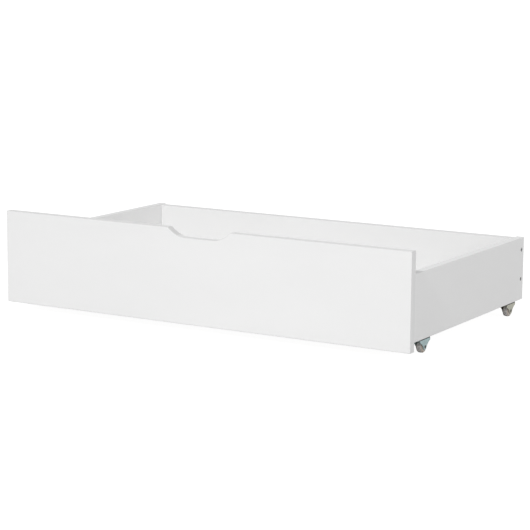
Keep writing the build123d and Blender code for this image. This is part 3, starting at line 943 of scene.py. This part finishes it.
class UNDERBED_OT_dowels(Operator):
    """Cut the fluted dowels"""
    bl_idname = "underbed.dowels"
    bl_label = "Dowels"

    def execute(self, context):
        look = context.scene.underbed_fixings
        material = beech(look)
        for node, axis in (("front_dowels", (0, 1, 0)), ("back_dowels", (1, 0, 0)),
                           ("rail_dowels", (0, 1, 0))):
            for number, box in enumerate(islands(node), start=1):
                points = dowel_points(box, axis, look.flutes)
                dowel = sheet_object(f"{node[:-1]}_{number}", points, material, close_columns=True)
                finish_piece(dowel, "box", "dowel_wood", node)
        return {"FINISHED"}


# ---- the stage ----

def view_back(azimuth, elevation):
    """The unit vector from what is looked at towards the viewer."""
    return Vector((math.sin(azimuth) * math.cos(elevation),
                   -math.cos(azimuth) * math.cos(elevation),
                   math.sin(elevation)))


def lay_floor(look, height):
    """A wide matt floor, white to the camera but for soft shadows, and clear from below."""
    half_floor = 40.0
    corners = np.array([[[-1, -1, 0], [1, -1, 0]], [[-1, 1, 0], [1, 1, 0]]], float) * half_floor
    corners[..., 2] = height
    material, n, shader, place, _ = new_material("floor")
    grain = n.noise(place, 9.0, 3.0, 0.5)
    seen = n.add("ShaderNodeLightPath").outputs["Is Camera Ray"]
    shade = n.blend(grain, colour(look.floor, 0.995), colour(look.floor))
    n.feed(shader.inputs["Base Color"], n.blend(seen, shade, colour(look.floor, look.floor_seen)))
    n.feed(shader.inputs["Emission Strength"], n.math("MULTIPLY", seen, look.floor_glow))
    shader.inputs["Emission Color"].default_value = (1, 1, 1, 1)
    shader.inputs["Roughness"].default_value = 0.9
    shader.inputs["Specular IOR Level"].default_value = 0.0
    clear = n.add("ShaderNodeBsdfTransparent").outputs[0]
    below = n.add("ShaderNodeNewGeometry").outputs["Backfacing"]
    mixed = n.add("ShaderNodeMixShader", _0=below, _1=shader.outputs[0], _2=clear)
    n.feed(material.node_tree.nodes["Material Output"].inputs["Surface"], mixed.outputs[0])
    sheet_object("floor", corners, material)


def surround(context, look):
    """Even light from all round, which is plain white to the camera."""
    world = bpy.data.worlds.new("surround")
    context.scene.world = world
    world.use_nodes = True
    n = Nodes(world.node_tree)
    background = world.node_tree.nodes["Background"]
    background.inputs["Color"].default_value = (1, 1, 1, 1)
    seen = n.add("ShaderNodeLightPath").outputs["Is Camera Ray"]
    n.feed(background.inputs["Strength"], n.math("MULTIPLY_ADD", seen, 1 - look.sky, look.sky))


def hang_lamp(context, light, target, azimuth, elevation, away):
    """Hangs a lamp that shines at a target and isn't seen itself. The angles are in degrees."""
    lamp = bpy.data.objects.new(light.name, light)
    back = view_back(math.radians(azimuth), math.radians(elevation))
    lamp.location = target + back * away
    lamp.rotation_euler = back.to_track_quat("Z", "Y").to_euler()
    lamp.visible_camera = False
    context.scene.collection.objects.link(lamp)


def hang_lights(context, look, middle):
    """A high sun from the front, a small disc low in front and a large one on the right."""
    sun = bpy.data.lights.new("key", "SUN")
    sun.angle = math.radians(5)
    sun.energy = look.key
    hang_lamp(context, sun, middle, azimuth=3, elevation=40, away=look.distance)
    for name, azimuth, elevation, away, width, strength in (
            ("front", 3, 10, 1.6, 0.8, look.front),
            ("right", 90, 20, 7.0, 3.5, look.right)):
        panel = bpy.data.lights.new(name, "AREA")
        panel.shape = "DISK"
        panel.size = width
        # the watts at which a small disc lights its target as a sun of that strength does
        panel.energy = strength * math.pi * away ** 2
        hang_lamp(context, panel, middle, azimuth, elevation, away)


def set_camera(context, look, middle):
    """A long lens aimed near the middle of the box, turned by roll about its line of sight."""
    camera_data = bpy.data.cameras.new("camera")
    camera_data.sensor_fit = "HORIZONTAL"
    camera_data.sensor_width = 36.0
    camera_data.lens = look.lens
    camera_data.clip_end = 200.0
    camera = bpy.data.objects.new("camera", camera_data)
    back = view_back(look.azimuth, look.elevation)
    level = Vector((math.cos(look.azimuth), math.sin(look.azimuth), 0))
    upright = back.cross(level)
    right = level * math.cos(look.roll) + upright * math.sin(look.roll)
    up = upright * math.cos(look.roll) - level * math.sin(look.roll)
    aim_offset = Vector((-0.0050, -0.0047, -0.0072))
    aim = middle + aim_offset
    place = Matrix.Identity(4)
    for column, axis in enumerate((right, up, back, aim + back * look.distance)):
        for row in range(3):
            place[row][column] = axis[row]
    camera.matrix_world = place
    context.scene.collection.objects.link(camera)
    context.scene.camera = camera


class UNDERBED_OT_stage(Operator):
    """Lay the floor and set up the lights and the camera"""
    bl_idname = "underbed.stage"
    bl_label = "Floor, lights and camera"

    def execute(self, context):
        look = context.scene.underbed_stage
        low, high = (Vector(corner) for corner in cad_box)
        middle = (low + high) / 2
        lay_floor(look, low.z)
        surround(context, look)
        hang_lights(context, look, middle)
        context.scene.view_settings.view_transform = "Standard"
        set_camera(context, look, middle)
        return {"FINISHED"}


# ---- the sidebar and the run ----

class UNDERBED_PT_panel(Panel):
    """Lists the pieces and the stage"""
    bl_label = "Under Bed Box"
    bl_idname = "UNDERBED_PT_panel"
    bl_space_type = "VIEW_3D"
    bl_region_type = "UI"
    bl_category = "Under Bed Box"

    def draw(self, context):
        for operator in OPERATORS:
            self.layout.operator(operator.bl_idname)


OPERATORS = (
    UNDERBED_OT_boards, UNDERBED_OT_castor_wheels, UNDERBED_OT_castor_brackets, UNDERBED_OT_castor_axles,
    UNDERBED_OT_dark_screws, UNDERBED_OT_small_screws, UNDERBED_OT_cams, UNDERBED_OT_dowels,
    UNDERBED_OT_stage)
LOOKS = {
    "underbed_boards": BoardLook,
    "underbed_castors": CastorLook,
    "underbed_fixings": FixingLook,
    "underbed_stage": StageLook,
}


def register():
    for thing in (*LOOKS.values(), *OPERATORS, UNDERBED_PT_panel):
        bpy.utils.register_class(thing)
    for name, look in LOOKS.items():
        setattr(bpy.types.Scene, name, PointerProperty(type=look))


def unregister():
    for name in LOOKS:
        delattr(bpy.types.Scene, name)
    for thing in (UNDERBED_PT_panel, *reversed(OPERATORS), *reversed(LOOKS.values())):
        bpy.utils.unregister_class(thing)


def main():
    register()
    for build_group in (group_eased_edge, group_sprayed_paint, group_settled_dust, group_plated_steel):
        build_group()
    bpy.ops.underbed.boards()
    bpy.ops.underbed.castor_wheels()
    bpy.ops.underbed.castor_brackets()
    bpy.ops.underbed.castor_axles()
    bpy.ops.underbed.dark_screws()
    bpy.ops.underbed.small_screws()
    bpy.ops.underbed.cams()
    bpy.ops.underbed.dowels()
    bpy.ops.underbed.stage()


if __name__ == "__main__":
    main()
